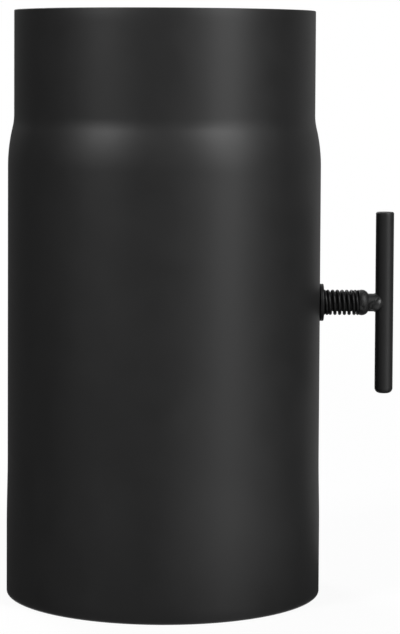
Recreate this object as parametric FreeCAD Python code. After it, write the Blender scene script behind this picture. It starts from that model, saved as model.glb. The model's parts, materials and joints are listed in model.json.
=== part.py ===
import FreeCAD, Part
import math
import os

# Stove pipe damper: a length of black flue pipe with a turning plate inside.
# All sizes are in millimetres. The pipe stands on Z with its socket end at Z = 0, and the
# handle points along +X. At rest the handle is upright and the plate lies open, along the flue.

# Pipe: rolled sheet, butt welded, widened to a socket at the foot and narrowed to a spigot at the top
BORE_DIAMETER = 130.0
WALL = 2.0
PIPE_LENGTH = 250.0
SPIGOT_PLAY = 0.6
SPIGOT_LENGTH = 44.5
SHOULDER_HEIGHT = 22.0
SOCKET_EASE = 0.4
SOCKET_LENGTH = 40.0
SOCKET_TAPER_HEIGHT = 12.0
# Part of the shoulder's curve that bulges outward; the rest is hollow
SHOULDER_CROWN_SHARE = 0.75
RIM_CHAMFER = 0.3

# Axle: one bar through both walls, upset to a collar outside, milled flat under the plate
AXLE_HEIGHT = 125.0
AXLE_DIAMETER = 7.7
AXLE_PLAY = 0.1
TAIL_RECESS = 0.5
TAIL_CHAMFER = 0.5
FLAT_CUT = 0.9
FLAT_RUNOUT = 0.5
COLLAR_RISE = 1.65
COLLAR_LENGTH = 4.1
COLLAR_CREST = 1.35

# Handle: a short crossbar welded across the end of the axle
HANDLE_DIAMETER = 7.8
HANDLE_LENGTH = 78.2
HANDLE_STEM = 7.0
HANDLE_TOP_CHAMFER = 0.7
HANDLE_FOOT_ROUND = 2.2
WELD_LEG = 1.25
WELD_CROWN = 0.9

# Washers: one under the spring, one behind the wall
WASHER_DIAMETER = 16.0
WASHER_THICKNESS = 1.6
WASHER_PLAY = 0.35
# Air between parts that bear on each other
SEAT_GAP = 0.05

# Spring: round wire with closed ends, pressing the collar away from the wall
SPRING_WIRE = 1.5
SPRING_PLAY = 0.15
SPRING_COIL_GAP = 0.51
SPRING_CLOSED_GAP = 0.03
SPRING_ACTIVE_TURNS = 5.0
SPRING_CLOSED_TURNS = 1.15
# Where the wire starts, turning from the back of the pipe over the top
SPRING_START_DEG = 100.0
# The path is drawn through this many points a turn, and the wire with this many sides
SPRING_POINTS_PER_TURN = 12
SPRING_WIRE_SIDES = 10

# Split pin: folded half-round wire that keeps the axle from being pushed out
PIN_DIAMETER = 2.0
PIN_PLAY = 0.1
PIN_NECK = 0.5
PIN_EYE_DIAMETER = 3.8
PIN_EYE_WIRE = 1.0
PIN_BEND_RADIUS = 2.0
PIN_SPREAD_DEG = 40.0
PIN_LEG = 2.5

# Damper plate: a stamped disc with two draught holes, screwed to the flat of the axle
PLATE_PLAY = 4.5
PLATE_THICKNESS = 2.0
DRAUGHT_HOLE_DIAMETER = 22.0
DRAUGHT_HOLE_OFFSET = 34.0
SCREW_DIAMETER = 4.0
SCREW_LENGTH = 10.0
SCREW_SPACING = 70.0
SCREW_HOLE_PLAY = 0.25
SCREW_THREAD_PLAY = 0.05
SCREW_HEAD_ACROSS_FLATS = 7.0
SCREW_HEAD_HEIGHT = 2.8
LOCK_WASHER_DIAMETER = 7.6
LOCK_WASHER_THICKNESS = 0.9
LOCK_WASHER_PLAY = 0.1
LOCK_WASHER_SLIT = 0.8

# Radii of the pipe, all from its bore
bore_radius = BORE_DIAMETER / 2
body_radius = bore_radius + WALL
spigot_radius = bore_radius - SPIGOT_PLAY
socket_radius = bore_radius + SOCKET_EASE + WALL

# Stations along the axle, measured along X from the pipe's axis outward
axle_radius = AXLE_DIAMETER / 2
handle_radius = HANDLE_DIAMETER / 2
washer_radius = WASHER_DIAMETER / 2
outer_washer_x = body_radius
inner_washer_x = math.sqrt(bore_radius**2 - washer_radius**2) - SEAT_GAP - WASHER_THICKNESS
pin_x = inner_washer_x - SEAT_GAP - PIN_DIAMETER / 2
closed_pitch = SPRING_WIRE + SPRING_CLOSED_GAP
active_pitch = SPRING_WIRE + SPRING_COIL_GAP
spring_rise = 2 * SPRING_CLOSED_TURNS * closed_pitch + SPRING_ACTIVE_TURNS * active_pitch
spring_x = outer_washer_x + WASHER_THICKNESS + SEAT_GAP
collar_x = spring_x + spring_rise + SPRING_WIRE + SEAT_GAP
handle_x = collar_x + COLLAR_LENGTH + HANDLE_STEM

# Stations across the axle, measured along Y from its axis
plate_radius = bore_radius - PLATE_PLAY
flat_y = axle_radius - FLAT_CUT
plate_face_y = flat_y + PLATE_THICKNESS
screw_seat_y = plate_face_y + LOCK_WASHER_THICKNESS
screw_places = (-SCREW_SPACING / 2, SCREW_SPACING / 2)

ALONG_X = FreeCAD.Vector(1, 0, 0)
ALONG_Y = FreeCAD.Vector(0, 1, 0)
ALONG_Z = FreeCAD.Vector(0, 0, 1)
PIPE_AXIS = FreeCAD.Vector(0, 0, 0)


def at_axle(x, y=0.0, z=0.0):
    """A point placed from the axle's axis, where it crosses the pipe's axis."""
    return FreeCAD.Vector(x, y, AXLE_HEIGHT + z)


def rod_x(radius, start, end):
    """A round bar on the axle's axis between two stations."""
    return Part.makeCylinder(radius, end - start, at_axle(start), ALONG_X)


def rod_y(radius, x, start, end, z=0.0):
    """A round bar along Y, such as a screw's shank or a hole through the plate."""
    return Part.makeCylinder(radius, end - start, at_axle(x, start, z), ALONG_Y)


def turned(outline):
    """A solid turned about the axle's axis from the edges of a closed outline."""
    return Part.Face(Part.Wire(outline)).revolve(at_axle(0), ALONG_X, 360)


def shoulder_side(inset):
    """The shoulder on one side of the wall: an arc that leaves the body and one that meets the spigot.

    inset moves the curve inward by a wall's thickness, about the same arc centres.
    """
    turn = 2 * math.atan((body_radius - spigot_radius) / SHOULDER_HEIGHT)
    crown = SHOULDER_CROWN_SHARE * SHOULDER_HEIGHT / math.sin(turn)
    hollow = (1 - SHOULDER_CROWN_SHARE) * SHOULDER_HEIGHT / math.sin(turn)
    top_z = PIPE_LENGTH - SPIGOT_LENGTH
    foot_z = top_z - SHOULDER_HEIGHT

    def on_crown(angle):
        reach = crown - inset
        return on_section(body_radius - crown + reach * math.cos(angle), foot_z + reach * math.sin(angle))

    def on_hollow(angle):
        reach = hollow + inset
        return on_section(spigot_radius + hollow - reach * math.cos(angle), top_z - reach * math.sin(angle))

    leaving = Part.Arc(on_crown(0), on_crown(turn / 2), on_crown(turn)).toShape()
    meeting = Part.Arc(on_crown(turn), on_hollow(turn / 2), on_hollow(0)).toShape()
    return on_crown(0), on_hollow(0), [leaving, meeting]


def on_section(radius, z):
    """A point of the pipe's section, which is drawn at the back so that its seam lies there."""
    return FreeCAD.Vector(0, radius, z)


def wall_side(inset):
    """One side of the pipe's wall, from the socket's rim up to the spigot's."""
    foot = on_section(socket_radius - inset, 0)
    socket_end = on_section(socket_radius - inset, SOCKET_LENGTH)
    body_start = on_section(body_radius - inset, SOCKET_LENGTH + SOCKET_TAPER_HEIGHT)
    body_end, spigot_start, shoulder = shoulder_side(inset)
    top = on_section(spigot_radius - inset, PIPE_LENGTH)
    straight = Part.makePolygon([foot, socket_end, body_start, body_end]).Edges
    return foot, top, straight + shoulder + [Part.makeLine(spigot_start, top)]


def pipe_shell():
    outer_foot, outer_top, outer = wall_side(0)
    inner_foot, inner_top, inner = wall_side(WALL)
    rims = [Part.makeLine(outer_top, inner_top), Part.makeLine(inner_foot, outer_foot)]
    section = Part.Face(Part.Wire(Part.__sortEdges__(outer + inner + rims)))
    pipe = section.revolve(PIPE_AXIS, ALONG_Z, 360)
    pipe = pipe.makeChamfer(RIM_CHAMFER, [edge for edge in pipe.Edges if on_one_rim(edge)])
    return pipe.cut(rod_x(axle_radius + AXLE_PLAY, -2 * socket_radius, 2 * socket_radius))


def on_one_rim(edge):
    heights = [edge.BoundBox.ZMin, edge.BoundBox.ZMax]
    return any(all(abs(z - rim_z) < 1e-3 for z in heights) for rim_z in (0, PIPE_LENGTH))


def collar():
    """The upset collar: flat towards the spring, and one round arc over its crest down to the bar."""
    crest_radius = axle_radius + COLLAR_RISE
    fall_length = COLLAR_LENGTH - COLLAR_CREST
    arc_radius = (fall_length**2 + COLLAR_RISE**2) / (2 * COLLAR_RISE)
    face_radius = crest_radius - arc_radius + math.sqrt(arc_radius**2 - COLLAR_CREST**2)
    face = at_axle(collar_x, 0, face_radius)
    crest = at_axle(collar_x + COLLAR_CREST, 0, crest_radius)
    end = at_axle(collar_x + COLLAR_LENGTH, 0, axle_radius)
    foot_of_face = at_axle(collar_x)
    foot_of_end = at_axle(collar_x + COLLAR_LENGTH)
    return turned([
        Part.makeLine(foot_of_face, face),
        Part.Arc(face, crest, end).toShape(),
        Part.makeLine(end, foot_of_end),
        Part.makeLine(foot_of_end, foot_of_face),
    ])


def axle():
    tail_x = TAIL_RECESS - body_radius
    bar = rod_x(axle_radius, tail_x, handle_x)
    tail_edges = [edge for edge in bar.Edges if edge.BoundBox.XMax < tail_x + TAIL_CHAMFER / 2]
    bar = bar.makeChamfer(TAIL_CHAMFER, tail_edges)
    bar = bar.fuse(collar()).removeSplitter()
    flat_reach = plate_radius + FLAT_RUNOUT
    above_flat = Part.makeBox(2 * flat_reach, AXLE_DIAMETER, 2 * AXLE_DIAMETER,
                              at_axle(-flat_reach, flat_y, -AXLE_DIAMETER))
    bar = bar.cut(above_flat)
    for x in screw_places:
        bar = bar.cut(rod_y(SCREW_DIAMETER / 2 + SCREW_THREAD_PLAY, x, -AXLE_DIAMETER, AXLE_DIAMETER))
    pin_hole = Part.makeCylinder(PIN_DIAMETER / 2 + PIN_PLAY, 2 * AXLE_DIAMETER,
                                 at_axle(pin_x, 0, -AXLE_DIAMETER), ALONG_Z)
    return bar.cut(pin_hole).cut(crossbar_bar())


def crossbar_bar():
    return Part.makeCylinder(handle_radius, HANDLE_LENGTH, at_axle(handle_x, 0, -HANDLE_LENGTH / 2), ALONG_Z)


def handle_crossbar():
    bar = crossbar_bar()
    foot_z = AXLE_HEIGHT - HANDLE_LENGTH / 2
    top_z = AXLE_HEIGHT + HANDLE_LENGTH / 2
    top_edges = [edge for edge in bar.Edges if edge.BoundBox.ZMin > top_z - 1e-3]
    bar = bar.makeChamfer(HANDLE_TOP_CHAMFER, top_edges)
    foot_edges = [edge for edge in bar.Edges if edge.BoundBox.ZMax < foot_z + 1e-3]
    return bar.makeFillet(HANDLE_FOOT_ROUND, foot_edges)


def handle_weld():
    """The bead round the joint: highest where the bars meet, run out over the crossbar, less both bars."""
    start_x = handle_x - handle_radius - WELD_LEG
    outline = [
        at_axle(start_x),
        at_axle(start_x, 0, axle_radius),
        at_axle(handle_x - handle_radius, 0, axle_radius + WELD_CROWN),
        at_axle(handle_x, 0, axle_radius),
        at_axle(handle_x),
        at_axle(start_x),
    ]
    bead = turned(Part.makePolygon(outline).Edges)
    return bead.cut(rod_x(axle_radius, start_x - WELD_LEG, handle_x + handle_radius)).cut(crossbar_bar())


def flat_washer(x):
    ring = rod_x(washer_radius, x, x + WASHER_THICKNESS)
    return ring.cut(rod_x(axle_radius + WASHER_PLAY, x - WASHER_THICKNESS, x + 2 * WASHER_THICKNESS))


def pressure_spring():
    """A right-hand coil: closed end turns, open turns between them, swept along its wire's centre line."""
    coil_radius = axle_radius + SPRING_PLAY + SPRING_WIRE / 2
    turns = 2 * SPRING_CLOSED_TURNS + SPRING_ACTIVE_TURNS
    start_x = spring_x + SPRING_WIRE / 2

    def rise(turn):
        first = min(turn, SPRING_CLOSED_TURNS)
        last = max(turn - SPRING_CLOSED_TURNS - SPRING_ACTIVE_TURNS, 0)
        return (first + last) * closed_pitch + (turn - first - last) * active_pitch

    def centre(turn):
        angle = math.radians(SPRING_START_DEG) + 2 * math.pi * turn
        return at_axle(start_x + rise(turn), coil_radius * math.cos(angle), coil_radius * math.sin(angle))

    steps = math.ceil(turns * SPRING_POINTS_PER_TURN)
    line = Part.BSplineCurve()
    line.interpolate([centre(turns * step / steps) for step in range(steps + 1)])
    along_wire = line.tangent(line.FirstParameter)[0]
    outward = along_wire.cross(ALONG_X).normalize()
    across = along_wire.cross(outward)
    section = []
    for side in range(SPRING_WIRE_SIDES + 1):
        angle = 2 * math.pi * (side + 0.5) / SPRING_WIRE_SIDES
        section.append(centre(0) + (outward * math.cos(angle) + across * math.sin(angle)) * SPRING_WIRE / 2)
    sweep = Part.BRepOffsetAPI.MakePipeShell(Part.Wire(line.toShape()))
    sweep.setBiNormalMode(ALONG_X)
    sweep.add(Part.makePolygon(section))
    sweep.build()
    sweep.makeSolid()
    return sweep.shape()


def split_pin():
    """Half-round wire folded to an eye, its two legs together through the axle and bent apart below it."""
    pin_radius = PIN_DIAMETER / 2
    top_z = axle_radius + PIN_NECK
    bend_z = -axle_radius - PIN_NECK
    shank = Part.makeCylinder(pin_radius, top_z - bend_z, at_axle(pin_x, 0, bend_z), ALONG_Z)
    eye_radius = PIN_EYE_DIAMETER / 2
    eye_centre = at_axle(pin_x - PIN_EYE_WIRE / 2, 0, top_z + eye_radius - PIN_EYE_WIRE / 2)
    eye = Part.makeCylinder(eye_radius, PIN_EYE_WIRE, eye_centre, ALONG_X)
    eye_hole = Part.makeCylinder(eye_radius - PIN_EYE_WIRE, PIN_EYE_WIRE, eye_centre, ALONG_X)
    pin = shank.fuse(eye).cut(eye_hole)
    for side in (-1, 1):
        near = at_axle(pin_x - pin_radius, 0, bend_z)
        far = at_axle(pin_x + pin_radius, 0, bend_z)
        belly = at_axle(pin_x, side * pin_radius, bend_z)
        half = Part.Face(Part.Wire([Part.Arc(near, belly, far).toShape(), Part.makeLine(far, near)]))
        hub = at_axle(pin_x, side * PIN_BEND_RADIUS, bend_z)
        bend = half.revolve(hub, ALONG_X, side * PIN_SPREAD_DEG)
        half.rotate(hub, ALONG_X, side * PIN_SPREAD_DEG)
        spread = math.radians(PIN_SPREAD_DEG)
        way_out = FreeCAD.Vector(0, side * math.sin(spread), -math.cos(spread))
        pin = pin.fuse(bend).fuse(half.extrude(way_out * PIN_LEG))
    return pin.removeSplitter()


def damper_plate():
    plate = rod_y(plate_radius, 0, flat_y, plate_face_y)
    for z in (-DRAUGHT_HOLE_OFFSET, DRAUGHT_HOLE_OFFSET):
        plate = plate.cut(rod_y(DRAUGHT_HOLE_DIAMETER / 2, 0, flat_y, plate_face_y, z))
    for x in screw_places:
        plate = plate.cut(rod_y(SCREW_DIAMETER / 2 + SCREW_HOLE_PLAY, x, flat_y, plate_face_y))
    return plate


def plate_screw(x):
    shank = rod_y(SCREW_DIAMETER / 2, x, screw_seat_y - SCREW_LENGTH, screw_seat_y)
    corner = SCREW_HEAD_ACROSS_FLATS / math.sqrt(3)
    corners = []
    for side in range(7):
        angle = math.radians(60 * side)
        corners.append(at_axle(x + corner * math.cos(angle), screw_seat_y, corner * math.sin(angle)))
    head = Part.Face(Part.makePolygon(corners)).extrude(ALONG_Y * SCREW_HEAD_HEIGHT)
    return shank.fuse(head)


def lock_washer(x):
    ring = rod_y(LOCK_WASHER_DIAMETER / 2, x, plate_face_y, screw_seat_y)
    ring = ring.cut(rod_y(SCREW_DIAMETER / 2 + LOCK_WASHER_PLAY, x, plate_face_y, screw_seat_y))
    slit = Part.makeBox(LOCK_WASHER_SLIT, LOCK_WASHER_THICKNESS, LOCK_WASHER_DIAMETER,
                        at_axle(x - LOCK_WASHER_SLIT / 2, plate_face_y, 0))
    return ring.cut(slit)


pieces = {
    "pipe_shell": pipe_shell(),
    "outer_washer": flat_washer(outer_washer_x),
    "inner_washer": flat_washer(inner_washer_x),
    "axle": axle(),
    "handle_crossbar": handle_crossbar(),
    "handle_weld": handle_weld(),
    "pressure_spring": pressure_spring(),
    "split_pin": split_pin(),
    "damper_plate": damper_plate(),
    "plate_screws": Part.makeCompound([plate_screw(x) for x in screw_places]),
    "lock_washers": Part.makeCompound([lock_washer(x) for x in screw_places]),
}

os.makedirs("parts", exist_ok=True)
for name, shape in pieces.items():
    shape.exportStep(f"parts/{name}.step")
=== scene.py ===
import json
import math

import bmesh
import bpy
from mathutils import Matrix, Vector


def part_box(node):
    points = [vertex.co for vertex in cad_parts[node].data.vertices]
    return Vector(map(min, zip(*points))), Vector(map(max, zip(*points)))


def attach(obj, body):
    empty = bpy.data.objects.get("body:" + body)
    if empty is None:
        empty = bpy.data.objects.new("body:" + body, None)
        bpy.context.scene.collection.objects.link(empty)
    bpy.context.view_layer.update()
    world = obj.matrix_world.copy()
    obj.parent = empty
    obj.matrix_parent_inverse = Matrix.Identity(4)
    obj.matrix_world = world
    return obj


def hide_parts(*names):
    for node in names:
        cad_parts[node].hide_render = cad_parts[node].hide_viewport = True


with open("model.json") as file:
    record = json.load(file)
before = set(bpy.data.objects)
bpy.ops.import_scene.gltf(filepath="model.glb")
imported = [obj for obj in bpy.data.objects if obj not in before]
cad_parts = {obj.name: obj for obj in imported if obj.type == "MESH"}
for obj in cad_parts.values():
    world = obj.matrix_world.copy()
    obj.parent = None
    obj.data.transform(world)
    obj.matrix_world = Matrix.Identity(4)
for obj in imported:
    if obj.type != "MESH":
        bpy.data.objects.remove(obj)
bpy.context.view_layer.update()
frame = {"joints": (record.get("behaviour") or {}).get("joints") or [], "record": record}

# Pipe: 2 mm steel sheet, rolled round and butt welded down the back. The foot is eased out to take the
# pipe below and the top is pressed in over a soft shoulder. The outside is sprayed with matte black
# heat-proof paint; inside, the steel is bare but for the spray that reached in at both ends.
MM = 0.001
mounts = {mount["name"]: mount for mount in frame["record"]["mounts"]}
pipe_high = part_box("pipe_shell")[1]
pipe_height = pipe_high.z
socket_radius = pipe_high.y
washer_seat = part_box("outer_washer")[0]
body_radius = washer_seat.x
spigot_radius = mounts["spigot"]["dims"]["r_mm"] * MM
wall = socket_radius - mounts["socket"]["dims"]["r_mm"] * MM
axle_height = frame["joints"][0]["pos_m"][2]
socket_length = 30 * MM
socket_taper = 28 * MM
spigot_length = 44.5 * MM
shoulder_height = 22 * MM
shoulder_crown_share = 0.75
top_rim_round = 0.5 * MM
foot_rim_round = 0.8 * MM
axle_hole_radius = 3.95 * MM
drill_reach = 100 * MM
ring_spacing = 5 * MM
pipe_steps = 288
hole_steps = 64
taper_rings = 8
crown_rings = 14
hollow_rings = 8
rim_rings = 6
inward_facing = -0.5
paint_colour = (0.0085, 0.0085, 0.0086)


def straight(start, end, spacing):
    """Points from start up to, not including, end, no further apart than spacing."""
    count = max(1, math.ceil(math.dist(start, end) / spacing))
    return [tuple(a + (b - a) * i / count for a, b in zip(start, end)) for i in range(count)]


def arc(centre, radius, first, last, count):
    """Points of a round stretch of a section, between two angles in degrees from the outward direction."""
    angles = [math.radians(first + (last - first) * i / count) for i in range(count + 1)]
    return [(centre[0] + radius * math.sin(a), centre[1] + radius * math.cos(a)) for a in angles]


def pipe_side(inset):
    """One side of the wall from above the foot's rim to below the top's, as (height, radius) points."""
    turn = 2 * math.atan((body_radius - spigot_radius) / shoulder_height)
    crown = shoulder_crown_share * shoulder_height / math.sin(turn)
    hollow = (1 - shoulder_crown_share) * shoulder_height / math.sin(turn)
    shoulder_top = pipe_height - spigot_length
    shoulder_foot = shoulder_top - shoulder_height
    taper_top = socket_length + socket_taper
    foot = (foot_rim_round, socket_radius - inset)
    side = straight(foot, (socket_length, socket_radius - inset), ring_spacing)
    for i in range(taper_rings):
        share = i / taper_rings
        eased = share * share * (3 - 2 * share)
        radius = socket_radius + (body_radius - socket_radius) * eased
        side.append((socket_length + socket_taper * share, radius - inset))
    side += straight((taper_top, body_radius - inset), (shoulder_foot, body_radius - inset), ring_spacing)
    degrees = math.degrees(turn)
    side += arc((shoulder_foot, body_radius - crown), crown - inset, 0, degrees, crown_rings)
    hollow_centre = (shoulder_top, spigot_radius + hollow)
    side += arc(hollow_centre, hollow + inset, 180 + degrees, 180, hollow_rings)[1:]
    spigot_foot = (shoulder_top, spigot_radius - inset)
    spigot_end = (pipe_height - top_rim_round, spigot_radius - inset)
    return side + straight(spigot_foot, spigot_end, ring_spacing)[1:]


def new_object(name, data):
    """An object in the scene, at the origin, that shows a mesh, a lamp or a camera."""
    piece = bpy.data.objects.new(name, data)
    bpy.context.scene.collection.objects.link(piece)
    return piece


def smoothed(piece, sharp_degrees=38):
    """Rounds the shading, apart from edges that turn by more than the given angle."""
    piece.data.shade_smooth()
    piece.data.set_sharp_from_angle(angle=math.radians(sharp_degrees))


def turned(name, outline, centre, axis, steps, closed=False):
    """A piece turned on a lathe from an outline of (distance along the axis, radius) points."""
    along = Vector(axis)
    side = along.orthogonal().normalized()
    across = along.cross(side)
    shape = bmesh.new()
    rings = []
    for distance, radius in outline:
        middle = Vector(centre) + along * distance
        spokes = 1 if radius == 0 else steps
        ring = []
        for i in range(spokes):
            angle = 2 * math.pi * i / spokes
            spoke = side * math.cos(angle) + across * math.sin(angle)
            ring.append(shape.verts.new(middle + spoke * radius))
        rings.append(ring)
    following = rings[1:] + rings[:1] if closed else rings[1:]
    for low, high in zip(rings, following):
        for i in range(steps):
            j = (i + 1) % steps
            corners = (low[i % len(low)], low[j % len(low)], high[j % len(high)], high[i % len(high)])
            shape.faces.new(list(dict.fromkeys(corners)))
    bmesh.ops.recalc_face_normals(shape, faces=shape.faces)
    mesh = bpy.data.meshes.new(name)
    shape.to_mesh(mesh)
    shape.free()
    return new_object(name, mesh)


def made_plain(piece, modifier):
    """Makes what the modifier does to the piece its own plain mesh."""
    evaluated = piece.evaluated_get(bpy.context.evaluated_depsgraph_get())
    plain = bpy.data.meshes.new_from_object(evaluated)
    piece.modifiers.remove(modifier)
    piece.data = plain


def cut_away(piece, cutter):
    """Takes the cutter's shape out of the piece."""
    cut = piece.modifiers.new("cut", "BOOLEAN")
    cut.operation = "DIFFERENCE"
    cut.solver = "EXACT"
    cut.object = cutter
    made_plain(piece, cut)
    bpy.data.objects.remove(cutter)


def add_node(tree, kind, inputs=None, **settings):
    """A node with its settings, each input given a plain value or linked from another node's output."""
    node = tree.nodes.new(kind)
    for setting, value in settings.items():
        setattr(node, setting, value)
    for socket, value in (inputs or {}).items():
        if isinstance(value, bpy.types.NodeSocket):
            tree.links.new(value, node.inputs[socket])
        else:
            node.inputs[socket].default_value = value
    return node


def calc(tree, operation, *values):
    """The result of a sum on numbers and other nodes' outputs."""
    return add_node(tree, "ShaderNodeMath", dict(enumerate(values)), operation=operation).outputs[0]


def new_finish(name):
    """An empty procedural finish: its tree, its surface shader and the place on the piece."""
    finish = bpy.data.materials.new(name)
    finish.use_nodes = True
    tree = finish.node_tree
    place = add_node(tree, "ShaderNodeTexCoord").outputs["Object"]
    return finish, tree, tree.nodes["Principled BSDF"], place


def speckle(tree, place, size, detail=2.0):
    """Noise whose patches are about the given size across."""
    noise = add_node(tree, "ShaderNodeTexNoise", {"Vector": place, "Scale": 1 / size, "Detail": detail})
    return noise.outputs["Fac"]


def blended(tree, first, second, share):
    """Two noises in one, the first by the given share."""
    return calc(tree, "ADD", calc(tree, "MULTIPLY", first, share), calc(tree, "MULTIPLY", second, 1 - share))


def between(tree, noise, low, high):
    """Noise stretched to run from low to high over the middle values, where most of it lies."""
    usual_low = 0.3
    usual_high = 0.7
    return add_node(tree, "ShaderNodeMapRange", {
        "Value": noise, "From Min": usual_low, "From Max": usual_high,
        "To Min": low, "To Max": high}).outputs["Result"]


def tinted(tree, share, low, high):
    """A colour part of the way from low to high, each of them a colour or another node's output."""
    ends = [end if isinstance(end, bpy.types.NodeSocket) else (*end, 1) for end in (low, high)]
    return add_node(tree, "ShaderNodeMix", {"Factor": share, "A": ends[0], "B": ends[1]},
                    data_type="RGBA").outputs["Result"]


def grained(tree, surface, height, depth):
    """Gives the surface a relief of the stated depth."""
    bump = add_node(tree, "ShaderNodeBump", {"Height": height, "Distance": depth, "Strength": 1.0})
    tree.links.new(bump.outputs["Normal"], surface.inputs["Normal"])


def black_paint(name, colour, roughness, grain, depth, gloss=0.5):
    """Sprayed black: a fine grain of dried mist, and broad patches a little more or less matte."""
    patch_size = 14 * MM
    mist_share = 0.6
    colour_spread = 0.15
    roughness_spread = 0.04
    finish, tree, surface, place = new_finish(name)
    mist = speckle(tree, place, grain)
    mixed = blended(tree, mist, speckle(tree, place, patch_size, detail=3), mist_share)
    darker = [channel * (1 - colour_spread) for channel in colour]
    lighter = [channel * (1 + colour_spread) for channel in colour]
    matte = between(tree, mixed, roughness - roughness_spread, roughness + roughness_spread)
    tree.links.new(tinted(tree, between(tree, mixed, 0, 1), darker, lighter), surface.inputs["Base Color"])
    tree.links.new(matte, surface.inputs["Roughness"])
    surface.inputs["Specular IOR Level"].default_value = gloss
    grained(tree, surface, mist, depth)
    return finish


def bare_flue_steel(name, painted):
    """Bare rolled steel with mill scale, and black overspray that fades from both ends of the pipe."""
    scale_size = 9 * MM
    grain_size = 0.6 * MM
    grain_depth = 0.01 * MM
    spray_full = 8 * MM
    spray_gone = 34 * MM
    spray_wander = 26 * MM
    dark_steel = (0.088, 0.09, 0.095)
    light_steel = (0.128, 0.13, 0.134)
    bare_metallic = 0.8
    satin = 0.42
    dull = 0.58
    finish, tree, surface, place = new_finish(name)
    scale = speckle(tree, place, scale_size, detail=6)
    height = add_node(tree, "ShaderNodeSeparateXYZ", {"Vector": place}).outputs["Z"]
    from_end = calc(tree, "MINIMUM", height, calc(tree, "SUBTRACT", pipe_height, height))
    wander = calc(tree, "MULTIPLY", calc(tree, "SUBTRACT", scale, 0.5), spray_wander)
    spray = add_node(tree, "ShaderNodeMapRange", {
        "Value": calc(tree, "ADD", from_end, wander), "From Min": spray_full, "From Max": spray_gone,
        "To Min": 1.0, "To Max": 0.0}, interpolation_type="SMOOTHSTEP").outputs["Result"]
    steel = tinted(tree, between(tree, scale, 0, 1), dark_steel, light_steel)
    metallic = calc(tree, "SUBTRACT", bare_metallic, calc(tree, "MULTIPLY", spray, bare_metallic))
    tree.links.new(tinted(tree, spray, steel, painted), surface.inputs["Base Color"])
    tree.links.new(metallic, surface.inputs["Metallic"])
    tree.links.new(between(tree, scale, satin, dull), surface.inputs["Roughness"])
    grained(tree, surface, speckle(tree, place, grain_size), grain_depth)
    return finish


stove_paint = black_paint("stove_paint", paint_colour, roughness=0.48, grain=0.45 * MM, depth=0.01 * MM)
flue_steel = bare_flue_steel("flue_steel", paint_colour)
outer_side = pipe_side(0)
inner_side = pipe_side(wall)
top_rim = []
for middle, first in ((spigot_radius - top_rim_round, 0), (spigot_radius - wall + top_rim_round, 90)):
    top_rim += arc((pipe_height - top_rim_round, middle), top_rim_round, first, first + 90, rim_rings)
foot_rim = []
for middle, first in ((socket_radius - wall + foot_rim_round, 180), (socket_radius - foot_rim_round, 270)):
    foot_rim += arc((foot_rim_round, middle), foot_rim_round, first, first + 90, rim_rings)
pipe = turned("pipe_shell_painted", outer_side + top_rim + inner_side[::-1] + foot_rim[:-1],
              (0, 0, 0), (0, 0, 1), pipe_steps, closed=True)
drill_outline = [(-drill_reach, 0), (-drill_reach, axle_hole_radius),
                 (drill_reach, axle_hole_radius), (drill_reach, 0)]
cut_away(pipe, turned("axle_drill", drill_outline, (0, 0, axle_height), (1, 0, 0), hole_steps))
smoothed(pipe)
pipe.data.materials.append(stove_paint)
pipe.data.materials.append(flue_steel)
for face in pipe.data.polygons:
    outward = Vector((face.center.x, face.center.y, 0)).normalized()
    face.material_index = 1 if face.normal.dot(outward) < inward_facing else 0
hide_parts("pipe_shell")
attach(pipe, "pipe")

# Seam: the butt weld where the rolled sheet's edges meet, down the back of the pipe, outside and in.
# It is a low rippled bead of steel, painted over with the pipe outside and left bare inside.
seam_width = 2.6 * MM
seam_rise = 0.22 * MM
seam_ripple = 1.3 * MM
seam_swell = 0.07
seam_step = 0.35 * MM
seam_end = 0.8 * MM
seam_sides = 12


def shape_tree(name, sizes):
    """An empty Geometry Nodes tree with a number input for each size, and its inputs."""
    tree = bpy.data.node_groups.new(name, "GeometryNodeTree")
    tree.interface.new_socket("Geometry", in_out="INPUT", socket_type="NodeSocketGeometry")
    for size in sizes:
        tree.interface.new_socket(size, in_out="INPUT", socket_type="NodeSocketFloat")
    tree.interface.new_socket("Geometry", in_out="OUTPUT", socket_type="NodeSocketGeometry")
    return tree, tree.nodes.new("NodeGroupInput").outputs


def end_tree(tree, geometry, finish):
    """Closes a tree: real geometry in place of copies, with its finish on."""
    real = add_node(tree, "GeometryNodeRealizeInstances", {"Geometry": geometry})
    dressed = add_node(tree, "GeometryNodeSetMaterial", {"Geometry": real.outputs[0], "Material": finish})
    end = tree.nodes.new("NodeGroupOutput")
    tree.links.new(dressed.outputs[0], end.inputs[0])


def at(tree, x=0.0, y=0.0, z=0.0):
    """A place, or a size in three directions, from its numbers."""
    return add_node(tree, "ShaderNodeCombineXYZ", {0: x, 1: y, 2: z}).outputs[0]


def circle(tree, steps, radius=1.0):
    """A round line in steps."""
    line = add_node(tree, "GeometryNodeCurvePrimitiveCircle", {"Resolution": steps, "Radius": radius})
    return line.outputs[0]


def oval(tree, steps, half_width, half_height):
    """A section that is wider than it is high, or the other way about."""
    stretch = {"Geometry": circle(tree, steps), "Scale": at(tree, half_width, half_height, 1.0)}
    return add_node(tree, "GeometryNodeTransform", stretch).outputs[0]


def facing_x(tree, path):
    """A path whose sections are all held to the X direction."""
    return add_node(tree, "GeometryNodeSetCurveNormal", {"Curve": path, "Normal": (1, 0, 0)},
                    mode="FREE").outputs[0]


def swept(tree, path, section, scale=1.0):
    """A section carried along a path, closed at the ends."""
    return add_node(tree, "GeometryNodeCurveToMesh", {
        "Curve": path, "Profile Curve": section, "Scale": scale, "Fill Caps": True}).outputs[0]


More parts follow.
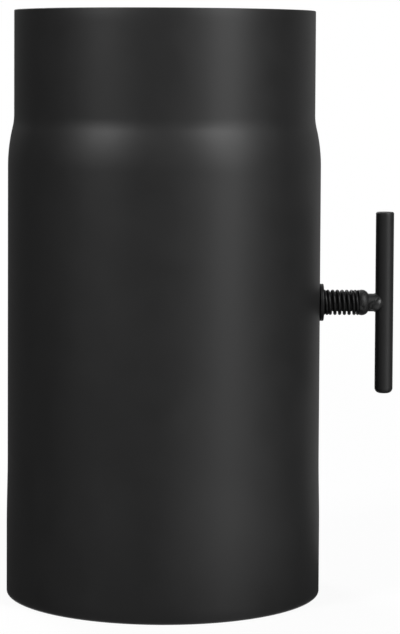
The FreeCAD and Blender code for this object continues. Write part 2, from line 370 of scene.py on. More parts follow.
def grown(name, tree, sizes, path=()):
    """A plain mesh made by a tree from its sizes, and from the line that it follows, if it has one."""
    line = bpy.data.meshes.new(name)
    line.from_pydata(path, [(i, i + 1) for i in range(len(path) - 1)], [])
    piece = new_object(name, line)
    growth = piece.modifiers.new(name, "NODES")
    growth.node_group = tree
    for item in tree.interface.items_tree:
        if item.in_out == "INPUT" and item.name in sizes:
            growth[item.identifier] = float(sizes[item.name])
    made_plain(piece, growth)
    return piece


def seam_tree(finish):
    """A flat bead along a line, its width rising and falling with the welder's ripples."""
    tree, size = shape_tree("seam", ("Width", "Rise", "Ripple", "Swell", "Step"))
    line = add_node(tree, "GeometryNodeMeshToCurve", {"Mesh": size["Geometry"]}).outputs[0]
    even = add_node(tree, "GeometryNodeResampleCurve", {"Curve": line, "Length": size["Step"]}, mode="LENGTH")
    along = add_node(tree, "GeometryNodeSplineParameter").outputs["Length"]
    wave = calc(tree, "DIVIDE", calc(tree, "MULTIPLY", along, 2 * math.pi), size["Ripple"])
    swell = calc(tree, "MULTIPLY_ADD", calc(tree, "SINE", wave), size["Swell"], 1.0)
    section = oval(tree, seam_sides, calc(tree, "MULTIPLY", size["Width"], 0.5), size["Rise"])
    end_tree(tree, swept(tree, facing_x(tree, even.outputs[0]), section, swell), finish)
    return tree


seam_runs = (("pipe_seam", outer_side, stove_paint), ("pipe_seam_inside", inner_side, flue_steel))
for name, side, finish in seam_runs:
    seam_line = [(0, radius, height) for height, radius in side if seam_end < height < pipe_height - seam_end]
    seam = grown(name, seam_tree(finish), {
        "Width": seam_width, "Rise": seam_rise, "Ripple": seam_ripple, "Swell": seam_swell,
        "Step": seam_step}, seam_line)
    smoothed(seam, sharp_degrees=60)
    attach(seam, "pipe")

# Washers: stamped steel rings, rounded on the side where the punch went in. The outer one, blackened,
# spreads the spring's push over the pipe's curve; the inner one, zinc plated, takes the split pin.
washer_bore = 4.2 * MM
punch_round = 0.35 * MM
burr_round = 0.12 * MM
washer_steps = 96
outer_edge_rings = 5
bore_edge_rings = 3


def zinc_plate(name):
    """Dull zinc on small steel parts, clouded and finely grained."""
    cloud_size = 2.2 * MM
    grain_size = 0.25 * MM
    grain_depth = 0.006 * MM
    dark_zinc = (0.30, 0.30, 0.29)
    light_zinc = (0.46, 0.46, 0.45)
    satin = 0.34
    dull = 0.5
    finish, tree, surface, place = new_finish(name)
    cloud = speckle(tree, place, cloud_size, detail=4)
    colour = tinted(tree, between(tree, cloud, 0, 1), dark_zinc, light_zinc)
    tree.links.new(colour, surface.inputs["Base Color"])
    tree.links.new(between(tree, cloud, satin, dull), surface.inputs["Roughness"])
    surface.inputs["Metallic"].default_value = 1.0
    grained(tree, surface, speckle(tree, place, grain_size), grain_depth)
    return finish


def washer(name, node, punched_outward, finish, body):
    """A stamped ring with its softly rounded edge on one side and the crisp one on the other."""
    low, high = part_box(node)
    radius = (high.z - low.z) / 2
    thickness = high.x - low.x
    near, far = (burr_round, punch_round) if punched_outward else (punch_round, burr_round)
    outline = arc((thickness - far, radius - far), far, 0, 90, outer_edge_rings)
    outline += arc((thickness - near, washer_bore + near), near, 90, 180, bore_edge_rings)
    outline += arc((near, washer_bore + near), near, 180, 270, bore_edge_rings)
    outline += arc((near, radius - near), near, 270, 360, outer_edge_rings)
    ring = turned(name, outline, (low.x, 0, axle_height), (1, 0, 0), washer_steps, closed=True)
    smoothed(ring, sharp_degrees=50)
    ring.data.materials.append(finish)
    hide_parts(node)
    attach(ring, body)


washer_black = black_paint("washer_black", (0.003, 0.003, 0.003), roughness=0.5, grain=0.3 * MM,
                           depth=0.004 * MM, gloss=0.38)
zinc = zinc_plate("zinc_plate")
washer("outer_washer_stamped", "outer_washer", True, washer_black, "pipe")
washer("inner_washer_stamped", "inner_washer", False, zinc, "pipe")

# Axle: one drawn steel bar through both walls, upset hot to a round collar outside for the spring to press
# on, and milled flat where the plate lies. It is painted black with the handle, thick and rough on the
# forged collar, which has a small dent in its front.
axle_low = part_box("axle")[0]
spring_low, spring_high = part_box("pressure_spring")
bar_low, bar_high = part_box("handle_crossbar")
plate_low, plate_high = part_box("damper_plate")
axle_radius = 3.85 * MM
handle_x = (bar_low.x + bar_high.x) / 2
tail_chamfer = 0.5 * MM
spring_gap = 0.05 * MM
collar_start = spring_high.x + spring_gap
collar_length = 4.1 * MM
collar_crest = 1.35 * MM
collar_rise = 1.65 * MM
collar_rings = 24
stem_start = collar_start + collar_length + 0.2 * MM
flat_runout = 0.5 * MM
flat_cutter_depth = 10 * MM
flat_cutter_width = 20 * MM
dent_place = Vector((collar_start + 1.3 * MM, -5.1 * MM, axle_height - 1.7 * MM))
dent_reach = 0.7 * MM
dent_depth = 0.45 * MM
bar_steps = 96
bar_ring_spacing = 2 * MM
stem_ring_spacing = 1 * MM
face_slack = 0.01 * MM


def collar_outline():
    """The collar's round back from its flat face, over the crest, down to the bar."""
    fall = collar_length - collar_crest
    bow = (fall**2 + collar_rise**2) / (2 * collar_rise)
    face_angle = -math.degrees(math.asin(collar_crest / bow))
    end_angle = math.degrees(math.asin(fall / bow))
    centre = (collar_start + collar_crest, axle_radius + collar_rise - bow)
    return arc(centre, bow, face_angle, end_angle, collar_rings)


def flat_cutter():
    """A block over the stretch of the axle that is milled away for the plate."""
    length = 2 * (plate_high.x + flat_runout)
    middle = Vector((0, plate_low.y + flat_cutter_depth / 2, axle_height))
    block = bmesh.new()
    bmesh.ops.create_cube(block, size=1)
    place = Matrix.LocRotScale(middle, None, Vector((length, flat_cutter_depth, flat_cutter_width)))
    bmesh.ops.transform(block, matrix=place, verts=block.verts)
    mesh = bpy.data.meshes.new("flat_cutter")
    block.to_mesh(mesh)
    block.free()
    return new_object("flat_cutter", mesh)


tail_end = (axle_low.x + tail_chamfer, axle_radius)
axle_outline = [(axle_low.x, 0), (axle_low.x, axle_radius - tail_chamfer)]
axle_outline += straight(tail_end, (collar_start, axle_radius), bar_ring_spacing)
axle_outline += [(collar_start, axle_radius)] + collar_outline()
axle_outline += straight((stem_start, axle_radius), (handle_x, axle_radius), stem_ring_spacing)
axle_outline += [(handle_x, axle_radius), (handle_x, 0)]
axle = turned("axle_bar", axle_outline, (0, 0, axle_height), (1, 0, 0), bar_steps)
for corner in axle.data.vertices:
    reach = (corner.co - dent_place).length / dent_reach
    inward = Vector((0, -corner.co.y, axle_height - corner.co.z)).normalized()
    corner.co += inward * dent_depth * math.exp(-reach * reach)
cut_away(axle, flat_cutter())
smoothed(axle)
bar_paint = black_paint("bar_paint", paint_colour, roughness=0.5, grain=0.35 * MM, depth=0.006 * MM)
forged_paint = black_paint("forged_paint", (0.007, 0.007, 0.007), roughness=0.55, grain=1.1 * MM,
                           depth=0.12 * MM)
axle.data.materials.append(bar_paint)
axle.data.materials.append(forged_paint)
for face in axle.data.polygons:
    on_collar = collar_start - face_slack < face.center.x < collar_start + collar_length
    face.material_index = 1 if on_collar else 0
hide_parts("axle")
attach(axle, "damper")

# Spring: a right-hand coil of round hard-drawn wire, oil blackened, its end turns closed and ground flat.
# It is held squeezed between the outer washer and the collar, so that the plate stays where it is turned.
wire_radius = 0.75 * MM
coil_radius = (spring_high.z - spring_low.z) / 2 - wire_radius
first_closed_turns = 1.8
active_turns = 5.25
last_closed_turns = 1.55
closed_pitch = 1.46 * MM
active_pitch = 2.036 * MM
end_tilt = 0.2 * MM
tilt_ease = 0.25
ground_away = 0.2 * MM
spring_start_x = spring_low.x - ground_away
spring_start_angle = math.radians(-108)
coil_points = 540
wire_sides = 20


def even_line(tree, count):
    """Evenly spaced points to be wound into shape, and each one's share of the way along."""
    line = add_node(tree, "GeometryNodeCurvePrimitiveLine").outputs[0]
    even = add_node(tree, "GeometryNodeResampleCurve", {"Curve": line, "Count": count}).outputs[0]
    return even, add_node(tree, "GeometryNodeSplineParameter").outputs["Factor"]


def placed(tree, shape, place):
    """A shape with each of its points put in a new place."""
    return add_node(tree, "GeometryNodeSetPosition", {"Geometry": shape, "Position": place}).outputs[0]


def own_place(tree):
    """The numbers of each point's own place."""
    place = add_node(tree, "GeometryNodeInputPosition").outputs[0]
    return add_node(tree, "ShaderNodeSeparateXYZ", {0: place}).outputs


def spring_tree(finish):
    """Round wire wound along the axle: close and a little askew at both ends, open between, the ends flat."""
    tree, size = shape_tree("spring", (
        "Wire Radius", "Coil Radius", "First Closed Turns", "Active Turns", "Last Closed Turns",
        "Closed Pitch", "Active Pitch", "End Tilt", "Tilt Ease", "Start Angle", "Start X", "Axis Height",
        "Ground Low", "Ground High"))

    def kept_between_ends(x):
        return calc(tree, "MINIMUM", calc(tree, "MAXIMUM", x, size["Ground Low"]), size["Ground High"])

    line, share = even_line(tree, coil_points)
    opened = calc(tree, "ADD", size["First Closed Turns"], size["Active Turns"])
    turn = calc(tree, "MULTIPLY", share, calc(tree, "ADD", opened, size["Last Closed Turns"]))
    first = calc(tree, "MINIMUM", turn, size["First Closed Turns"])
    last = calc(tree, "MAXIMUM", calc(tree, "SUBTRACT", turn, opened), 0.0)
    closed = calc(tree, "ADD", first, last)
    rise = calc(tree, "ADD", calc(tree, "MULTIPLY", closed, size["Closed Pitch"]),
                calc(tree, "MULTIPLY", calc(tree, "SUBTRACT", turn, closed), size["Active Pitch"]))
    angle = calc(tree, "MULTIPLY_ADD", turn, 2 * math.pi, size["Start Angle"])
    sine = calc(tree, "SINE", angle)
    into_end = calc(tree, "MAXIMUM", calc(tree, "SUBTRACT", size["First Closed Turns"], turn),
                    calc(tree, "SUBTRACT", turn, opened))
    askew = add_node(tree, "ShaderNodeMapRange", {
        "Value": into_end, "From Min": calc(tree, "MULTIPLY", size["Tilt Ease"], -1.0),
        "From Max": size["Tilt Ease"]}).outputs["Result"]
    tilt = calc(tree, "MULTIPLY", calc(tree, "MULTIPLY", sine, size["End Tilt"]), askew)
    along = calc(tree, "SUBTRACT", calc(tree, "ADD", size["Start X"], rise), tilt)
    across = calc(tree, "MULTIPLY", calc(tree, "COSINE", angle), size["Coil Radius"])
    upward = calc(tree, "MULTIPLY_ADD", sine, size["Coil Radius"], size["Axis Height"])
    coil = placed(tree, line, at(tree, kept_between_ends(along), across, upward))
    wire = swept(tree, coil, circle(tree, wire_sides, size["Wire Radius"]))
    point = own_place(tree)
    ground = placed(tree, wire, at(tree, kept_between_ends(point["X"]), point["Y"], point["Z"]))
    end_tree(tree, ground, finish)
    return tree


spring_black = black_paint("spring_black", (0.002, 0.002, 0.002), roughness=0.48, grain=0.3 * MM,
                           depth=0.004 * MM, gloss=0.38)
spring = grown("pressure_spring_wire", spring_tree(spring_black), {
    "Wire Radius": wire_radius, "Coil Radius": coil_radius, "First Closed Turns": first_closed_turns,
    "Active Turns": active_turns, "Last Closed Turns": last_closed_turns, "Closed Pitch": closed_pitch,
    "Active Pitch": active_pitch, "End Tilt": end_tilt, "Tilt Ease": tilt_ease,
    "Start Angle": spring_start_angle, "Start X": spring_start_x, "Axis Height": axle_height,
    "Ground Low": spring_low.x, "Ground High": spring_high.x})
smoothed(spring)
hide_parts("pressure_spring")
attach(spring, "damper")

# Crossbar: a short piece of the same drawn bar, sawn square at the top with the burr taken off, its lower
# end ground round. It stands across the end of the axle, painted black.
bar_radius = (bar_high.x - bar_low.x) / 2
bar_length = bar_high.z - bar_low.z
top_round = 0.7 * MM
foot_round = 2.2 * MM
straight_start = foot_round + 0.3 * MM
straight_end = bar_length - top_round
foot_round_rings = 12
top_round_rings = 6
bar_outline = [(0, 0)] + arc((foot_round, bar_radius - foot_round), foot_round, -90, 0, foot_round_rings)
bar_outline += straight((straight_start, bar_radius), (straight_end, bar_radius), bar_ring_spacing)
bar_outline += arc((straight_end, bar_radius - top_round), top_round, 0, 90, top_round_rings)
bar_outline += [(bar_length, 0)]
crossbar = turned("handle_crossbar_bar", bar_outline, (handle_x, 0, bar_low.z), (0, 0, 1), bar_steps)
smoothed(crossbar, sharp_degrees=50)
crossbar.data.materials.append(bar_paint)
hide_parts("handle_crossbar")
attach(crossbar, "damper")

# Weld: two hand-laid runs where the axle's end meets the crossbar. The metal gathered at the front and back
# and sagged a little below the middle before it set, and is thin above and below. The paint lies glossier
# on its smooth lumps.
run_height = 1.35 * MM
run_half_length = 2.6 * MM
run_standoff = 1.6 * MM
toe_height = 0.8 * MM
toe_half_length = 1.3 * MM
toe_standoff = 3.3 * MM
weld_sag = math.radians(15)
weld_gather = 4.0
thin_share = 0.2
lump_size = 2.2 * MM
lump_swell = 0.3
weld_points = 144
weld_sides = 40


def weld_tree(finish):
    """Two lumpy runs round the line where two crossed bars meet, the toe's further along the axle."""
    tree, size = shape_tree("weld", (
        "Run Height", "Run Half Length", "Run Standoff", "Toe Height", "Toe Half Length", "Toe Standoff",
        "Sag", "Gather", "Thin Share", "Lump Size", "Axle Radius", "Bar Radius", "Bar X", "Axis Height"))
    ring = circle(tree, weld_points)
    share = add_node(tree, "GeometryNodeSplineParameter").outputs["Factor"]
    angle = calc(tree, "MULTIPLY", share, 2 * math.pi)
    sine = calc(tree, "SINE", angle)
    cosine = calc(tree, "COSINE", angle)
    level = calc(tree, "MULTIPLY", calc(tree, "ABSOLUTE", sine), calc(tree, "COSINE", size["Sag"]))
    sagged = calc(tree, "SUBTRACT", level, calc(tree, "MULTIPLY", cosine, calc(tree, "SINE", size["Sag"])))
    frontness = calc(tree, "POWER", sagged, size["Gather"])
    across = calc(tree, "MULTIPLY", sine, size["Axle Radius"])
    upward = calc(tree, "MULTIPLY_ADD", cosine, size["Axle Radius"], size["Axis Height"])
    thick_share = calc(tree, "SUBTRACT", 1.0, size["Thin Share"])
    fullness = calc(tree, "MULTIPLY_ADD", frontness, thick_share, size["Thin Share"])
    runs = add_node(tree, "GeometryNodeJoinGeometry")
    for run in ("Toe", "Run"):
        reach = calc(tree, "MULTIPLY_ADD", frontness, size[run + " Standoff"], size["Bar Radius"])
        depth = calc(tree, "SQRT", calc(tree, "SUBTRACT", calc(tree, "MULTIPLY", reach, reach),
                                        calc(tree, "MULTIPLY", across, across)))
        place = at(tree, calc(tree, "SUBTRACT", size["Bar X"], depth), across, upward)
        saddle = facing_x(tree, placed(tree, ring, place))
        lumps = add_node(tree, "ShaderNodeTexNoise", {
            "Vector": place, "Scale": calc(tree, "DIVIDE", 1.0, size["Lump Size"]), "Detail": 1.0})
        lumpy = calc(tree, "MULTIPLY_ADD", lumps.outputs["Fac"], lump_swell, 1 - lump_swell / 2)
        section = oval(tree, weld_sides, size[run + " Half Length"], size[run + " Height"])
        bead = swept(tree, saddle, section, calc(tree, "MULTIPLY", fullness, lumpy))
        tree.links.new(bead, runs.inputs[0])
    end_tree(tree, runs.outputs[0], finish)
    return tree


weld_paint = black_paint("weld_paint", (0.014, 0.014, 0.014), roughness=0.38, grain=0.8 * MM,
                         depth=0.003 * MM)
weld = grown("handle_weld_bead", weld_tree(weld_paint), {
    "Run Height": run_height, "Run Half Length": run_half_length, "Run Standoff": run_standoff,
    "Toe Height": toe_height, "Toe Half Length": toe_half_length, "Toe Standoff": toe_standoff,
    "Sag": weld_sag, "Gather": weld_gather, "Thin Share": thin_share, "Lump Size": lump_size,
    "Axle Radius": axle_radius, "Bar Radius": bar_radius, "Bar X": handle_x, "Axis Height": axle_height})
smoothed(weld, sharp_degrees=80)
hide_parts("handle_weld")
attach(weld, "damper")

# Split pin: half-round zinc-plated wire folded to an eye, pushed down through the axle behind the inner
# washer and its two legs bent apart below.
pin_low, pin_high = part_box("split_pin")
pin_x = (pin_low.x + pin_high.x) / 2
pin_radius = (pin_high.x - pin_low.x) / 2
pin_neck = 0.5 * MM
fold_gap = 0.02 * MM
eye_radius = 1.45 * MM
eye_hollow_share = 0.6
eye_start = -70
eye_sweep = 320
eye_points = 24
shank_stop = 0.3 * MM
leg_bend = 2.0 * MM
leg_spread = math.radians(40)
leg_end = 2.5 * MM
leg_points = 8
pin_sides = 24


def pin_line():
    """The inner face of the folded wire: up one leg, round the eye and down the other."""
    bend_height = axle_height - axle_radius - pin_neck
    eye_height = axle_height + axle_radius + pin_neck + eye_radius
    leg = []
    for i in range(leg_points + 1):
        angle = leg_spread * i / leg_points
        leg.append((leg_bend * (1 - math.cos(angle)), bend_height - leg_bend * math.sin(angle)))
    tip = leg[-1]
    leg.append((tip[0] + leg_end * math.sin(leg_spread), tip[1] - leg_end * math.cos(leg_spread)))
    eye = []
    hollow = eye_radius * eye_hollow_share
    for i in range(eye_points + 1):
        angle = math.radians(eye_start + eye_sweep * i / eye_points)
        eye.append((hollow * math.cos(angle), eye_height + hollow * math.sin(angle)))
    shank_top = eye_height - eye_radius - shank_stop
    right = [(fold_gap + y, z) for y, z in leg[::-1]] + [(fold_gap, shank_top)]
    left = [(-y, z) for y, z in right[::-1]]
    return [(pin_x, y, z) for y, z in right + eye + left]


def pin_tree(finish):
    """Half-round wire along a flat line, its flat side on the line."""
    tree, size = shape_tree("split_pin", ("Wire Radius",))
    line = add_node(tree, "GeometryNodeMeshToCurve", {"Mesh": size["Geometry"]}).outputs[0]
    point = own_place(tree)
    upper_half = at(tree, point["X"], calc(tree, "MAXIMUM", point["Y"], 0.0))
    section = placed(tree, circle(tree, pin_sides, size["Wire Radius"]), upper_half)
    end_tree(tree, swept(tree, facing_x(tree, line), section), finish)
    return tree


pin = grown("split_pin_wire", pin_tree(zinc), {"Wire Radius": pin_radius}, pin_line())
smoothed(pin, sharp_degrees=50)
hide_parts("split_pin")
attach(pin, "damper")

# Plate: a disc cut from 2 mm hot-rolled sheet, with two draught holes so that a shut flue still breathes.
# It keeps its blue-grey mill scale, and lies on the flat of the axle.
plate_radius = (plate_high.x - plate_low.x) / 2
plate_edge = 0.25 * MM
draught_radius = 11 * MM
draught_offset = 34 * MM
screw_spacing = 70 * MM
screw_hole_radius = 2.25 * MM
plate_steps = 256
draught_steps = 96
screw_hole_steps = 48
sharp_edge = math.radians(60)
plate_merge = 0.001 * MM


def mill_scale(name):
    """Hot-rolled sheet: blue-grey scale in clouds, with rolling streaks along the sheet."""
    cloud_size = 16 * MM
    cloud_share = 0.65
    streak_width = 1.5 * MM
    streak_stretch = 0.12
    relief = 0.02 * MM
    dark_scale = (0.055, 0.058, 0.066)
    light_scale = (0.16, 0.16, 0.165)
    satin = 0.36
    dull = 0.56
    finish, tree, surface, place = new_finish(name)
    along_sheet = {"Vector": place, "Scale": (1, 1, streak_stretch)}
    stretched = add_node(tree, "ShaderNodeMapping", along_sheet).outputs[0]
    clouds = speckle(tree, place, cloud_size, detail=5)
    streaks = speckle(tree, stretched, streak_width, detail=3)
    mixed = blended(tree, clouds, streaks, cloud_share)
    colour = tinted(tree, between(tree, mixed, 0, 1), dark_scale, light_scale)
    tree.links.new(colour, surface.inputs["Base Color"])
    tree.links.new(between(tree, mixed, satin, dull), surface.inputs["Roughness"])
    surface.inputs["Metallic"].default_value = 0.85
    grained(tree, surface, mixed, relief)
    return finish


def moved(tree, shape, x=0.0, y=0.0, z=0.0):
    """A shape carried aside by the given distances."""
    shift = {"Geometry": shape, "Translation": at(tree, x, y, z)}
    return add_node(tree, "GeometryNodeTransform", shift).outputs[0]


def joined(tree, shapes):
    """Several shapes as one."""
    whole = add_node(tree, "GeometryNodeJoinGeometry")
    for shape in shapes:
        tree.links.new(shape, whole.inputs[0])
    return whole.outputs[0]


def merged(tree, shape, distance):
    """A shape whose points that lie closer than the distance have become one."""
    return add_node(tree, "GeometryNodeMergeByDistance", {"Geometry": shape, "Distance": distance}).outputs[0]


def plate_tree(finish):
    """A disc with its round holes left out of the fill, given the sheet's thickness."""
    tree, size = shape_tree("plate", (
        "Radius", "Thickness", "Draught Radius", "Draught Offset", "Screw Radius", "Screw Spacing"))
    rims = [circle(tree, plate_steps, size["Radius"])]
    for sign in (-1.0, 1.0):
        draught = circle(tree, draught_steps, size["Draught Radius"])
        rims.append(moved(tree, draught, y=calc(tree, "MULTIPLY", size["Draught Offset"], sign)))
        screw_hole = circle(tree, screw_hole_steps, size["Screw Radius"])
        rims.append(moved(tree, screw_hole, x=calc(tree, "MULTIPLY", size["Screw Spacing"], sign / 2)))
    face = add_node(tree, "GeometryNodeFillCurve", {"Curve": joined(tree, rims)}, mode="NGONS").outputs[0]
    sheet = add_node(tree, "GeometryNodeExtrudeMesh", {"Mesh": face, "Offset Scale": size["Thickness"],
                                                       "Individual": False})
    under = add_node(tree, "GeometryNodeFlipFaces", {"Mesh": face}).outputs[0]
    both = joined(tree, (sheet.outputs["Mesh"], under))
    end_tree(tree, merged(tree, both, plate_merge), finish)
    return tree


scale_steel = mill_scale("mill_scale")
plate = grown("damper_plate_disc", plate_tree(scale_steel), {
    "Radius": plate_radius, "Thickness": plate_high.y - plate_low.y, "Draught Radius": draught_radius,
    "Draught Offset": draught_offset, "Screw Radius": screw_hole_radius, "Screw Spacing": screw_spacing})
stood_up = Matrix.Rotation(math.pi / 2, 4, "X")
plate.data.transform(Matrix.Translation((0, plate_high.y, axle_height)) @ stood_up)
deburred = bmesh.new()
deburred.from_mesh(plate.data)
sharp_edges = [edge for edge in deburred.edges if edge.calc_face_angle() > sharp_edge]
bmesh.ops.bevel(deburred, geom=sharp_edges, offset=plate_edge, segments=2, profile=0.5, affect="EDGES")
deburred.to_mesh(plate.data)
deburred.free()
smoothed(plate, sharp_degrees=25)
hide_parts("damper_plate")
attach(plate, "damper")

# Screws and lock washers: two zinc-plated hex screws hold the plate to the axle, each with a split spring
# washer under its head. Their threads run through the bar and end just proud of it.
screw_low, screw_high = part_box("plate_screws")
lock_low, lock_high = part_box("lock_washers")
screw_radius = 2 * MM
head_across_flats = 7 * MM
head_crown_share = 0.475
head_chamfer = math.radians(30)
head_merge = 0.01 * MM
thread_pitch = 0.7 * MM
thread_depth = 0.35 * MM
lock_radius = (lock_high.z - lock_low.z) / 2
lock_bore = 2.1 * MM
lock_slit = 0.8 * MM
lock_edge = 0.12 * MM
crown_steps = 72
shank_steps = 48
thread_points = 480
thread_sides = 4
lock_steps = 64
lock_edge_steps = 3


def screw_head(tree, size):
    """A hexagon whose upper corners a cone has turned off."""
    corner = calc(tree, "DIVIDE", size["Across Flats"], math.sqrt(3))
    hexagon = add_node(tree, "GeometryNodeMeshCylinder",
                       {"Vertices": 6, "Radius": corner, "Depth": size["Head Height"]}).outputs["Mesh"]
    top = calc(tree, "MULTIPLY", size["Across Flats"], head_crown_share)
    foot = calc(tree, "MULTIPLY_ADD", size["Head Height"], 1 / math.tan(head_chamfer), top)
    cone = add_node(tree, "GeometryNodeMeshCone", {
        "Vertices": crown_steps, "Radius Top": top, "Radius Bottom": foot, "Depth": size["Head Height"]})
    half_head = calc(tree, "MULTIPLY", size["Head Height"], 0.5)
    head = add_node(tree, "GeometryNodeMeshBoolean", operation="INTERSECT", solver="EXACT")
    for part in (moved(tree, hexagon, z=half_head), cone.outputs[0]):
        tree.links.new(part, head.inputs["Mesh 2"])
    return merged(tree, head.outputs[0], head_merge)


def screw_thread(tree, size, root):
    """A ridge wound down the shank."""
    line, share = even_line(tree, thread_points)
    drop = calc(tree, "MULTIPLY", share, size["Length"])
    angle = calc(tree, "MULTIPLY", calc(tree, "DIVIDE", drop, size["Pitch"]), -2 * math.pi)
    across = calc(tree, "MULTIPLY", calc(tree, "COSINE", angle), root)
    aside = calc(tree, "MULTIPLY", calc(tree, "SINE", angle), root)
    helix = placed(tree, line, at(tree, across, aside, calc(tree, "MULTIPLY", drop, -1.0)))
    return swept(tree, helix, circle(tree, thread_sides, size["Thread Depth"]))


def in_a_row(tree, size, part, finish):
    """Two copies of a part, one each side of the middle of the plate, pointing out of its face."""
    first = at(tree, calc(tree, "MULTIPLY", size["Spacing"], -0.5))
    places = add_node(tree, "GeometryNodeMeshLine", {"Count": 2, "Start Location": first,
                                                     "Offset": at(tree, size["Spacing"])})
    copies = add_node(tree, "GeometryNodeInstanceOnPoints", {"Points": places.outputs[0], "Instance": part})
    end_tree(tree, copies.outputs[0], finish)


def screw_tree(finish):
    """Hex screws in a row, each a head and a threaded shank."""
    tree, size = shape_tree("screws", (
        "Spacing", "Radius", "Length", "Across Flats", "Head Height", "Pitch", "Thread Depth"))
    root = calc(tree, "SUBTRACT", size["Radius"], size["Thread Depth"])
    core = add_node(tree, "GeometryNodeMeshCylinder",
                    {"Vertices": shank_steps, "Radius": root, "Depth": size["Length"]}).outputs["Mesh"]
    shank = moved(tree, core, z=calc(tree, "MULTIPLY", size["Length"], -0.5))
    screw = joined(tree, (screw_head(tree, size), shank, screw_thread(tree, size, root)))
    in_a_row(tree, size, screw, finish)
    return tree


def lock_tree(finish):
    """Split rings in a row: square wire bent round and cut once."""
    tree, size = shape_tree("lock_washers", ("Spacing", "Radius", "Bore", "Thickness", "Slit"))
    middle = calc(tree, "MULTIPLY", calc(tree, "ADD", size["Radius"], size["Bore"]), 0.5)
    gap = calc(tree, "DIVIDE", size["Slit"], middle)
    bend = add_node(tree, "GeometryNodeCurveArc", {
        "Resolution": lock_steps, "Radius": middle,
        "Start Angle": calc(tree, "MULTIPLY_ADD", gap, 0.5, math.pi / 2),
        "Sweep Angle": calc(tree, "SUBTRACT", 2 * math.pi, gap)}, mode="RADIUS").outputs[0]
    wire_width = calc(tree, "SUBTRACT", size["Radius"], size["Bore"])
    square = add_node(tree, "GeometryNodeCurvePrimitiveQuadrilateral", {
        "Width": wire_width, "Height": size["Thickness"]}).outputs[0]
    eased = add_node(tree, "GeometryNodeFilletCurve", {
        "Curve": square, "Radius": lock_edge, "Count": lock_edge_steps}, mode="POLY").outputs[0]
    upright = add_node(tree, "GeometryNodeSetCurveNormal", {"Curve": bend}, mode="Z_UP").outputs[0]
    in_a_row(tree, size, swept(tree, upright, eased), finish)
    return tree


on_plate = Matrix.Rotation(-math.pi / 2, 4, "X")
screws = grown("plate_screws_hex", screw_tree(zinc), {
    "Spacing": screw_spacing, "Radius": screw_radius, "Length": lock_high.y - screw_low.y,
    "Across Flats": head_across_flats, "Head Height": screw_high.y - lock_high.y, "Pitch": thread_pitch,
    "Thread Depth": thread_depth})
lock_washers = grown("lock_washers_split", lock_tree(zinc), {
    "Spacing": screw_spacing, "Radius": lock_radius, "Bore": lock_bore, "Thickness": lock_high.y - lock_low.y,
    "Slit": lock_slit})
lock_middle = (lock_low.y + lock_high.y) / 2
fastened = ((screws, "plate_screws", lock_high.y), (lock_washers, "lock_washers", lock_middle))
for fasteners, node, depth in fastened:
    fasteners.data.transform(Matrix.Translation((0, depth, axle_height)) @ on_plate)
    smoothed(fasteners, sharp_degrees=30)
    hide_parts(node)
    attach(fasteners, "damper")

# Studio: the pipe stands on a pale floor that runs out to white, under three soft lamps in front and one
# behind. Glowing sheets round it and a glowing strip on the floor, seen only in reflections, are painted
# reflections: the dark dome paints shade into the black paint between the lamps' sheen, and the grey
# sheets and the strip paint a sheen at its edges and low on its right.
floor_reach = 8.0
floor_steps = 96
floor_colour = (0.8, 0.8, 0.8)
floor_white_near = 0.9
floor_fade_start = 0.3
floor_fade_end = 1.2
fill_light = 0.35
lamp_target = Vector((0, 0, 0.13))
reflection_dome_reach = 4.0
reflection_dome_start = 68 * MM
reflection_lift = 0.2 * MM
reflection_dome_rows = 12
reflection_strip_near = 0.13
reflection_strip_far = 0.45
reflection_strip_lift = 2 * reflection_lift
panel_steps = 40


def shown_ray(tree):
    """1 for what the camera sees straight, in a reflection or through glass, and 0 for what only lights."""
    path = add_node(tree, "ShaderNodeLightPath").outputs
    mirrored = calc(tree, "MAXIMUM", path["Is Glossy Ray"], path["Is Transmission Ray"])
    return calc(tree, "MAXIMUM", path["Is Camera Ray"], mirrored)


def studio_finish(name):
    """A finish with no shader yet, and its tree."""
    finish = bpy.data.materials.new(name)
    finish.use_nodes = True
    finish.node_tree.nodes.clear()
    return finish, finish.node_tree


def floor_finish():
    """Pale matte board that takes the shadow, fading to plain white away from the pipe, but not inside it."""
    finish, tree = studio_finish("floor_board")
    place = add_node(tree, "ShaderNodeTexCoord").outputs["Object"]
    distance = add_node(tree, "ShaderNodeVectorMath", {0: place}, operation="LENGTH").outputs["Value"]
    fade = add_node(tree, "ShaderNodeMapRange", {
        "Value": distance, "From Min": floor_fade_start, "From Max": floor_fade_end,
        "To Min": floor_white_near, "To Max": 1.0}, interpolation_type="SMOOTHSTEP").outputs["Result"]
    beside_pipe = calc(tree, "GREATER_THAN", distance, socket_radius - wall / 2)
    white = calc(tree, "MULTIPLY", fade, beside_pipe)
    matte = add_node(tree, "ShaderNodeBsdfDiffuse", {"Color": (*floor_colour, 1)})
    glow = add_node(tree, "ShaderNodeEmission", {"Color": (1, 1, 1, 1), "Strength": 1.0})
    mixed = add_node(tree, "ShaderNodeMixShader", {0: calc(tree, "MULTIPLY", white, shown_ray(tree)),
                                                   1: matte.outputs[0], 2: glow.outputs[0]})
    add_node(tree, "ShaderNodeOutputMaterial", {"Surface": mixed.outputs[0]})
    return finish


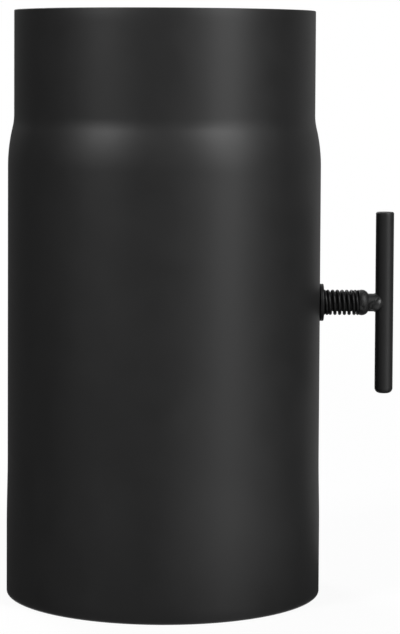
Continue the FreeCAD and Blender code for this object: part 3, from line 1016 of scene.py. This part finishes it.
def reflected_panel(name, outline, first, last, brightness):
    """A painted reflection: a glowing sheet that shows only in reflections, from an outline of
    (height, distance from the pipe's middle) points swept between two directions in degrees from the
    camera's side round to the right."""
    finish, tree = studio_finish(name)
    glow = add_node(tree, "ShaderNodeEmission", {"Color": (1, 1, 1, 1), "Strength": brightness})
    add_node(tree, "ShaderNodeOutputMaterial", {"Surface": glow.outputs[0]})
    points = []
    for i in range(panel_steps + 1):
        turn = math.radians(first + (last - first) * i / panel_steps)
        points += [(radius * math.sin(turn), -radius * math.cos(turn), height) for height, radius in outline]
    rows = len(outline)
    faces = [(i * rows + j, i * rows + j + 1, (i + 1) * rows + j + 1, (i + 1) * rows + j)
             for i in range(panel_steps) for j in range(rows - 1)]
    mesh = bpy.data.meshes.new(name)
    mesh.from_pydata(points, [], faces)
    mesh.materials.append(finish)
    panel = new_object(name, mesh)
    panel.visible_camera = False
    panel.visible_diffuse = False
    panel.visible_transmission = False
    panel.visible_shadow = False


def soft_lamp(name, azimuth, elevation, distance, width, height, power):
    """A softbox aimed at the pipe. Azimuth is from the camera's side round to the right, and elevation from
    level upwards, in degrees."""
    lamp = bpy.data.lights.new(name, "AREA")
    lamp.shape = "RECTANGLE"
    lamp.size = width
    lamp.size_y = height
    lamp.energy = power
    turn = math.radians(azimuth)
    rise = math.radians(elevation)
    way = Vector((math.sin(turn) * math.cos(rise), -math.cos(turn) * math.cos(rise), math.sin(rise)))
    holder = new_object(name, lamp)
    holder.location = lamp_target + way * distance
    holder.rotation_euler = (-way).to_track_quat("-Z", "Y").to_euler()


floor = turned("floor", [(0, 0), (0, floor_reach)], (0, 0, 0), (0, 0, 1), floor_steps)
floor.data.materials.append(floor_finish())
# Painted reflections: the dark dome paints shade into the paint's reflections between the lamps' sheen, the
# grey sheets behind paint a sheen at its edges, and the grey strip paints a sheen low on its right.
reflection_dome = [(reflection_lift, reflection_dome_start)] + arc((reflection_lift, 0), reflection_dome_reach, 0, 89, reflection_dome_rows)
reflection_strip = [(reflection_strip_lift, reflection_strip_near), (reflection_strip_lift, reflection_strip_far)]
reflected_panel("painted_dark_reflection", reflection_dome, first=-128, last=122, brightness=0.05)
reflected_panel("painted_right_grey_reflection", reflection_dome, first=122, last=168, brightness=0.37)
reflected_panel("painted_left_grey_reflection", reflection_dome, first=-168, last=-128, brightness=0.09)
reflected_panel("painted_low_right_reflection", reflection_strip, first=6, last=80, brightness=0.62)
soft_lamp("right_softbox", azimuth=47, elevation=16, distance=2.0, width=0.45, height=1.4, power=12.4)
soft_lamp("right_high_softbox", azimuth=45, elevation=40, distance=1.5, width=0.3, height=0.7, power=11.8)
soft_lamp("left_softbox", azimuth=-46.5, elevation=33, distance=1.5, width=0.3, height=0.85, power=11.2)
soft_lamp("back_softbox", azimuth=-152, elevation=36, distance=1.8, width=0.5, height=0.9, power=14)

world = bpy.data.worlds.new("studio")
world.use_nodes = True
bpy.context.scene.world = world
air = world.node_tree
fill = add_node(air, "ShaderNodeMapRange", {"Value": shown_ray(air), "To Min": fill_light, "To Max": 1.0})
air.links.new(fill.outputs["Result"], air.nodes["Background"].inputs["Strength"])
air.nodes["Background"].inputs["Color"].default_value = (1, 1, 1, 1)

# Camera: in front, a little below the level of the pipe's top and looking slightly down, the handle to the
# right. The view is shifted down on the sensor, so that the sides of the pipe stay nearly upright.
eye = Vector((0, -1.0442, 0.23))
look_down = math.radians(3.118)
look_right = math.radians(0.836)
lean = math.radians(0.297)
lens = 138.35
sensor_width = 36
view_shift = -0.2
camera_data = bpy.data.cameras.new("camera")
camera_data.sensor_width = sensor_width
camera_data.lens = lens
camera_data.shift_y = view_shift
camera = new_object("camera", camera_data)
camera.location = eye
heading = Matrix.Rotation(-look_right, 3, "Z")
tipped = Matrix.Rotation(math.pi / 2 - look_down, 3, "X")
rolled = Matrix.Rotation(lean, 3, "Z")
camera.rotation_euler = (heading @ tipped @ rolled).to_euler()
bpy.context.scene.camera = camera
bpy.context.scene.view_settings.view_transform = "Standard"
